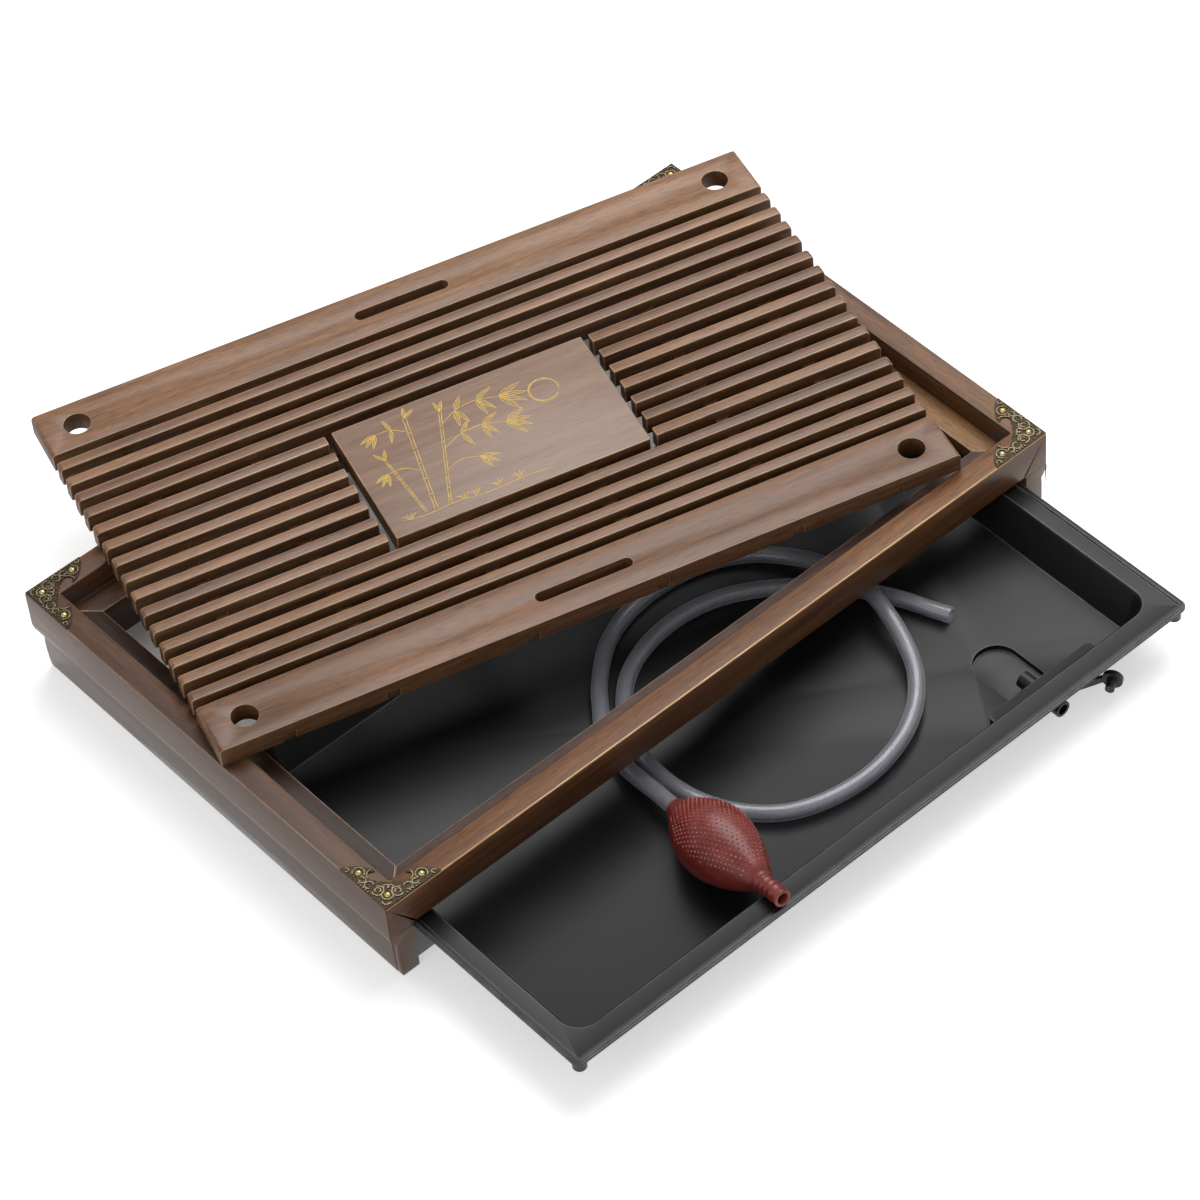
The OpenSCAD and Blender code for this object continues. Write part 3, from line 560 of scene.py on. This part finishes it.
def plate_scrolls(finish):
    """Small stamped scrolls that fill the ground of the four corner plates between their larger curls."""
    lines = []
    for k in (1, 2, 3, 4):
        plate = NODES["corner_plate_%d" % k]
        tree = BVHTree.FromPolygons([plate.matrix_world @ v.co for v in plate.data.vertices],
                                    [tuple(p.vertices) for p in plate.data.polygons])
        middle = sum((plate.matrix_world @ v.co for v in plate.data.vertices), Vector()) / len(plate.data.vertices)
        middle = middle / MM - HOME
        sx, sy = (1 if middle.x > 0 else -1), (1 if middle.y > 0 else -1)
        taken = []
        for radius, tries in ((1.5, 500), (1.1, 700), (0.75, 900)):
            for _ in range(tries):
                u, v = random.uniform(0.8, 43), random.uniform(0.8, 43)
                x, y = sx * (HALF_W - u), sy * (HALF_D - v)
                if any((x - a) ** 2 + (y - b) ** 2 < (radius + c + 0.15) ** 2 for a, b, c in taken):
                    continue
                ring = [(x + (radius + 0.15) * math.cos(q), y + (radius + 0.15) * math.sin(q))
                        for q in (0, 1.05, 2.09, 3.14, 4.19, 5.24)] + [(x, y)]
                hits = [tree.ray_cast((Vector((a, b, 80)) + HOME) * MM, Vector((0, 0, -1)))[0] for a, b in ring]
                if any(h is None or abs(h.z / MM - PLATE_TOP) > 0.06 for h in hits):
                    continue
                taken.append((x, y, radius))
                start, way = random.uniform(0, 6.28), random.choice((-1, 1))
                lines.append([(x + radius * (1 - 0.7 * t) * math.cos(start + way * 8.5 * t),
                               y + radius * (1 - 0.7 * t) * math.sin(start + way * 8.5 * t), PLATE_TOP + 0.03)
                              for t in (0, 0.12, 0.24, 0.36, 0.48, 0.6, 0.72, 0.86, 1)])
    scrolls = wires("corner_scrolls", lines, 0.27, 2)
    scrolls.data.transform(Matrix.Translation(HOME * MM) @ Matrix.Diagonal((MM, MM, MM, 1)))
    dress(scrolls, finish)
    only(scrolls)
    bpy.ops.object.shade_smooth_by_angle(angle=math.radians(70))
    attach(scrolls, "frame")


def leaf(x, y, angle, length):
    """A slim bamboo leaf: two bowed outlines and a midrib."""
    c, s = math.cos(math.radians(angle)), math.sin(math.radians(angle))
    sag = -0.10 * length * abs(c)

    def at(u, v):
        drop = sag * (u / length) ** 2
        return (x + c * u - s * v, y + s * u + c * v + drop)
    w = length * 0.10
    return [[at(0, 0), at(length * 0.28, w), at(length * 0.65, w * 0.75), at(length, 0)],
            [at(0, 0), at(length * 0.28, -w), at(length * 0.65, -w * 0.75), at(length, 0)],
            [at(length * 0.08, 0), at(length * 0.45, 0.05), at(length * 0.8, 0)]]


def bamboo_drawing(finish):
    """A plain spray of bamboo before a round moon, drawn in gold lines on the centre plate."""
    lines = []
    # stalks: foot, top, number of joints, half width
    stalks = ((-52, -38, -39, 38, 6, 1.1), (-43, -38, -18, 33, 6, 0.9), (-58, -38, -63, 12, 4, 0.7))
    for x0, y0, x1, y1, joints, half in stalks:
        for k in range(joints):
            a, b = k / joints, (k + 0.94) / joints
            for off in (-half, half):
                lines.append([(x0 + (x1 - x0) * a + off, y0 + (y1 - y0) * a),
                              (x0 + (x1 - x0) * (a + b) / 2 + off * 0.8, y0 + (y1 - y0) * (a + b) / 2),
                              (x0 + (x1 - x0) * b + off, y0 + (y1 - y0) * b)])
            lines.append([(x0 + (x1 - x0) * b - half * 1.5, y0 + (y1 - y0) * b + 0.3),
                          (x0 + (x1 - x0) * b, y0 + (y1 - y0) * b + 0.8),
                          (x0 + (x1 - x0) * b + half * 1.5, y0 + (y1 - y0) * b + 0.3)])
    # twigs with hanging leaves
    for twig in ([(-22, 22), (-10, 29), (4, 31), (18, 27)], [(-29, 3), (-15, 10), (0, 11), (13, 6)],
                 [(-41, 26), (-50, 33), (-60, 34)], [(-47, -6), (-56, 1), (-66, 1)],
                 [(-33, -12), (-22, -9), (-12, -12)]):
        lines.append(twig)
    sprays = [(18, 27, (-8, -35, -62, 22), 17), (5, 31, (-55, -85, 30), 14), (-10, 29, (-70, 55, -100), 13),
              (13, 6, (-5, -30, -58, 25), 16), (0, 11, (-60, -90, 28), 13), (-14, 10, (-75, 50), 12),
              (-60, 34, (-170, -145, -118), 11), (-50, 33, (-110, 100), 10), (-66, 1, (-165, -135, -105), 10),
              (-12, -12, (-12, -42, -72), 12), (-39, 38, (35, 75), 9), (-18, 33, (62, 96), 9), (-63, 12, (70, 120), 9)]
    for x, y, angles, length in sprays:
        for a in angles:
            lines += leaf(x, y, a, length)
    # moon and the line of the ground with tufts
    for r in (9.5, 8.8):
        lines.append([(44 + r * math.cos(math.radians(q)), 19 + r * math.sin(math.radians(q)))
                      for q in range(-20, 321, 20)])
    lines.append([(-74, -37), (-60, -39.5), (-40, -38.5), (-18, -40.5), (6, -39.5), (24, -41)])
    for x in (-68, -34, -26, -12, 2):
        for lean in (-3.2, -1.2, 1.0, 3.0):
            lines.append([(x + lean * 0.3, -39), (x + lean * 0.7, -36), (x + lean * 1.5, -33.4 - abs(lean) * 0.4)])
    drawing = wires("gold_drawing", lines, 0.3, 5)
    # pressed flat, its top 0.04 mm proud of the plate
    drawing.data.transform(grille_place() @ Matrix.Translation((0, 0, 13.0 * MM))
                           @ Matrix.Diagonal((MM, MM, 0.15 * MM, 1)))
    dress(drawing, finish)
    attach(drawing, "grille")


# Stage: a white floor that keeps the tray's shadow, and a plain soft room.
def stage():
    bpy.ops.object.select_all(action="DESELECT")
    bpy.ops.mesh.primitive_plane_add(size=12, location=(0, 0, -0.0004))
    floor = bpy.context.object
    floor.name = "floor"
    m = bpy.data.materials.new("white paper floor")
    m.use_nodes = True
    tree = m.node_tree
    tree.nodes.clear()
    paper = node(tree, "ShaderNodeBsdfDiffuse", {}, {"Color": (0.9, 0.9, 0.9, 1)})
    # the paper glows a little to read white, and less where the tray covers it: a painted shade under the tray
    place = node(tree, "ShaderNodeTexCoord")
    spot = node(tree, "ShaderNodeSeparateXYZ", {}, {"Vector": (place, "Object")})
    cover = []
    for axis, middle, reach in (("X", HOME.x * MM, 0.25), ("Y", HOME.y * MM, 0.16)):
        off = node(tree, "ShaderNodeMath", {"operation": "SUBTRACT"}, {0: (spot, axis), 1: middle})
        off = node(tree, "ShaderNodeMath", {"operation": "ABSOLUTE"}, {0: (off, "Value")})
        cover.append(node(tree, "ShaderNodeMath", {"operation": "LESS_THAN"}, {0: (off, "Value"), 1: reach}))
    under = node(tree, "ShaderNodeMath", {"operation": "MULTIPLY"}, {0: (cover[0], "Value"), 1: (cover[1], "Value")})
    strength = node(tree, "ShaderNodeMapRange", {}, {"Value": (under, "Value"), "To Min": 0.52, "To Max": 0.06})
    glow = node(tree, "ShaderNodeEmission", {}, {"Color": (1, 1, 1, 1), "Strength": (strength, "Result")})
    both = node(tree, "ShaderNodeAddShader", {}, {0: (paper, "BSDF"), 1: (glow, "Emission")})
    rays = node(tree, "ShaderNodeLightPath")
    seen = node(tree, "ShaderNodeMath", {"operation": "MAXIMUM"},
                {0: (rays, "Is Camera Ray"), 1: (rays, "Is Glossy Ray")})
    seen = node(tree, "ShaderNodeMath", {"operation": "MAXIMUM"},
                {0: (seen, "Value"), 1: (rays, "Is Transmission Ray")})
    look = node(tree, "ShaderNodeMixShader", {}, {0: (seen, "Value"), 1: (paper, "BSDF"), 2: (both, "Shader")})
    node(tree, "ShaderNodeOutputMaterial", {}, {"Surface": (look, "Shader")})
    floor.data.materials.append(m)
    world = bpy.data.worlds.new("room")
    world.use_nodes = True
    tree = world.node_tree
    tree.nodes.clear()
    rays = node(tree, "ShaderNodeLightPath")
    mirrored = node(tree, "ShaderNodeMath", {"operation": "MAXIMUM"},
                    {0: (rays, "Is Glossy Ray"), 1: (rays, "Is Transmission Ray")})
    level = node(tree, "ShaderNodeMapRange", {}, {"Value": (mirrored, "Value"), "To Min": 0.38, "To Max": 0.62})
    level = node(tree, "ShaderNodeMath", {"operation": "MAXIMUM"}, {0: (level, "Result"), 1: (rays, "Is Camera Ray")})
    sky = node(tree, "ShaderNodeBackground", {}, {"Color": (1, 1, 1, 1), "Strength": (level, "Value")})
    node(tree, "ShaderNodeOutputWorld", {}, {"Surface": (sky, "Background")})
    scene.world = world
    for name, spot, size, watts in (("softbox_over", (1.05, 0.55, 2.3), 2.0, 50.0),
                                    ("softbox_left", (-2.4, -0.6, 1.5), 1.6, 6.0)):
        data = bpy.data.lights.new(name, "AREA")
        data.shape, data.size, data.energy = "SQUARE", size, watts
        lamp = bpy.data.objects.new(name, data)
        scene.collection.objects.link(lamp)
        lamp.location = spot
        lamp.rotation_euler = (Vector((0, 0, 0)) - Vector(spot)).to_track_quat("-Z", "Y").to_euler()
    scene.view_settings.view_transform = "Standard"


place_camera()

# Hose and bulb, lying in the drawer
hose_line = [(p + HOME) * MM for p in smooth_route(ROUTE, 6)]
hose = hollow_tube("siphon_hose_tube", hose_line, 10 * MM, 7 * MM, 24)
dress(hose, clear_pvc())
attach(hose, "drawer")
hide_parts("siphon_hose")
rubber = red_rubber()
bulb = siphon_bulb(rubber)
dots = grip_dots()
dress(bulb, rubber)
dress(dots, dot_rubber_glint())
only(bulb)
dots.select_set(True)
bpy.context.view_layer.objects.active = bulb
bpy.ops.object.join()
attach(bulb, "drawer")
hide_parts("siphon_bulb")
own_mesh(bulb)

# Frame woodwork: the outer arrises carry a painted highlight, a golden line on the front board and a paler
# line on the others, and the inner top arris a painted shade, a dark line
random.seed(7)
ACROSS = math.radians(90)
rim_tones = {"front_board": ("#55341c", "#784f30", "#91663f"), "back_board": ("#4a2c18", "#68432a", "#805638"),
             "side_board_left": ("#40281a", "#5a3b27", "#704c34"),
             "side_board_right": ("#55361f", "#775031", "#8f6742")}
golden_arris_highlight = walnut("walnut, painted golden highlight on an arris", "#b98550", "#d9a86c", "#edc890",
                    (0, 0, 0), (0, 0, 0), 0.3)
# the side and back boards' arrises are painted paler, a painted highlight
pale_arris_highlight = walnut("walnut, painted pale highlight on a planed arris", "#6b513f", "#80644f", "#93765f", (0, 0, 0), (0, 0, 0), 0.35)
inner_arris_shade = walnut("walnut, painted shade in the inner arris", "#1f130c", "#2a1a11", "#362217",
                     (0, 0, 0), (0, 0, 0), 0.6, 0.0)
for name, tones in rim_tones.items():
    turn = ACROSS if name.startswith("side") else 0
    shift = (0.3 + random.random(), 0.1, random.random())
    board = eased(name, "frame", 0.0008,
                  walnut("walnut-stained wood, " + name, *tones, (0, 0, turn), shift, 0.45, 0.0, 0.38),
                  golden_arris_highlight if name == "front_board" else pale_arris_highlight, False)
    # the moulded outer faces are planed smooth and lacquered; on the side and back boards their brown is greyed
    # towards lilac, most on the lower moulding, a painted sheen of the pale room; the front one is plain and darker
    band_tones = ("#482914", "#5e3a20", "#74502e") if name == "front_board" else ("#5c463a", "#664e41", "#705749")
    round_tones = band_tones if name == "front_board" else ("#504039", "#5a4941", "#65554c")
    band = walnut("walnut-stained wood, top band of " + name, *band_tones,
                  (0, 0, turn), shift, 0.42, 0.05, 0.45, 0.82)
    paint(board, band, lambda at, normal, slot: at.z > BAND_FOOT and (
        (slot == 0 and (abs(at.x) > HALF_W - 1 or abs(at.y) > HALF_D - 1)) or (slot == 1 and at.z < 61.5)))
    moulding = walnut("walnut-stained wood, moulding of " + name, *round_tones,
                      (0, 0, turn), shift, 0.38, 0.1, 0.5, 0.88)
    paint(board, moulding, lambda at, normal, slot: slot < 2 and at.z < BAND_FOOT)
    # the inner top arris, within 1.2 mm of the rim's inner edge, is painted near black: a painted shade, a dark line
    # along the rim
    paint(board, inner_arris_shade, lambda at, normal, slot: slot == 1 and at.z > 61 and (
        abs(at.x) < HALF_W - RIM + 1.2 and abs(at.y) < HALF_D - RIM + 1.2))
# the four ledge strips are one stained wood, painted at the tones the light gives them: painted shade on the left and
# back strips, a grey painted sheen on the front one, painted light on the golden right one
ledge_tones = {"ledge_front": ("#45302a", "#57423a", "#68524a"), "ledge_left": ("#2f1c11", "#40291a", "#533624"),
               "ledge_back": ("#3d2616", "#523520", "#66452c"), "ledge_right": ("#8a6138", "#a3764a", "#b98c5a")}
# the strips' rounded arrises are painted pale, a painted highlight
ledge_arris_highlight = walnut("ledge strip, painted highlight on its arris", "#8c7564", "#a58d7a", "#bda793", (0, 0, 0), (0, 0, 0), 0.3)
for name, tones in ledge_tones.items():
    eased(name, "frame", 0.0006,
          walnut("stained wood strip, " + name, *tones, (0, 0, 0 if name in ("ledge_front", "ledge_back") else ACROSS),
                 (random.random(), 0.2, random.random()), 0.5, 0.0, 0.35), ledge_arris_highlight)

# Grille woodwork: each board from its own plank, so tone and figure change from piece to piece
lie = math.radians(-16)
board_tones = (("#5f3f28", "#835a3b", "#9b704c"), ("#553722", "#775135", "#916646"), ("#674630", "#8c6343", "#a57a56"))
# the grille's rounded arrises are painted pale, a painted highlight
slat_arris_highlight = walnut("slat arris, painted highlight", "#94704f", "#b08c68", "#ccab86",
                    (0, 0, lie), (0, 0, 0), 0.3)
# the grille's sides and undersides are painted darker than the tops, a painted shade
grille_side_shade = walnut("walnut-stained wood, sides with painted shade", "#4d3220", "#6a4a30", "#876142",
                 (0, 0, lie), (0, 0, 0), 0.55, 0.0, 0.3)
batten_cut = walnut("walnut-stained wood, battens", "#4a301d", "#66452c", "#80593a",
                    (0, 0, lie + ACROSS), (0, 0, 0), 0.55, 0.0, 0.3)
for name in sorted(n for n, o in NODES.items() if o.get("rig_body") == "grille"):
    tones = board_tones[random.randrange(3)]
    if name == "center_plate":
        # the centre plate's paler grey-pink tone is partly its own plank and partly a painted sheen
        tones = ("#846856", "#917563", "#9f8370")
    elif name.startswith("grille_board"):
        tones = board_tones[1 if name.endswith("front") else 2]
    if name.startswith("batten"):
        eased(name, "grille", 0.0004, batten_cut)
        continue
    finish = walnut("walnut-stained wood, " + name, *tones,
                    (0, 0, lie), (random.random(), random.random(), random.random()),
                    0.4, 0.1, 0.5, 0.85 if name == "center_plate" else 0.62)
    board = eased(name, "grille", 0.0007, finish, slat_arris_highlight)
    paint(board, grille_side_shade, lambda at, normal, slot: slot == 0 and normal.z < 0.5)
bamboo_drawing(gold_line())

# Brass, plastic and rubber
brass, nails, plastic = antique_brass(), nail_brass(), black_styrene()
for k in (1, 2, 3, 4):
    dress(NODES["corner_plate_%d" % k], brass)
plate_scrolls(brass)
dress(NODES["corner_nails"], nails)
# the tray's rounded edges take the paler plastic, a painted highlight
eased("drip_tray", "drawer", 0.0008, plastic, edge_styrene_highlight())
dress(NODES["drain_spout"], plastic)
dress(NODES["drain_plug"], black_rubber())

stage()
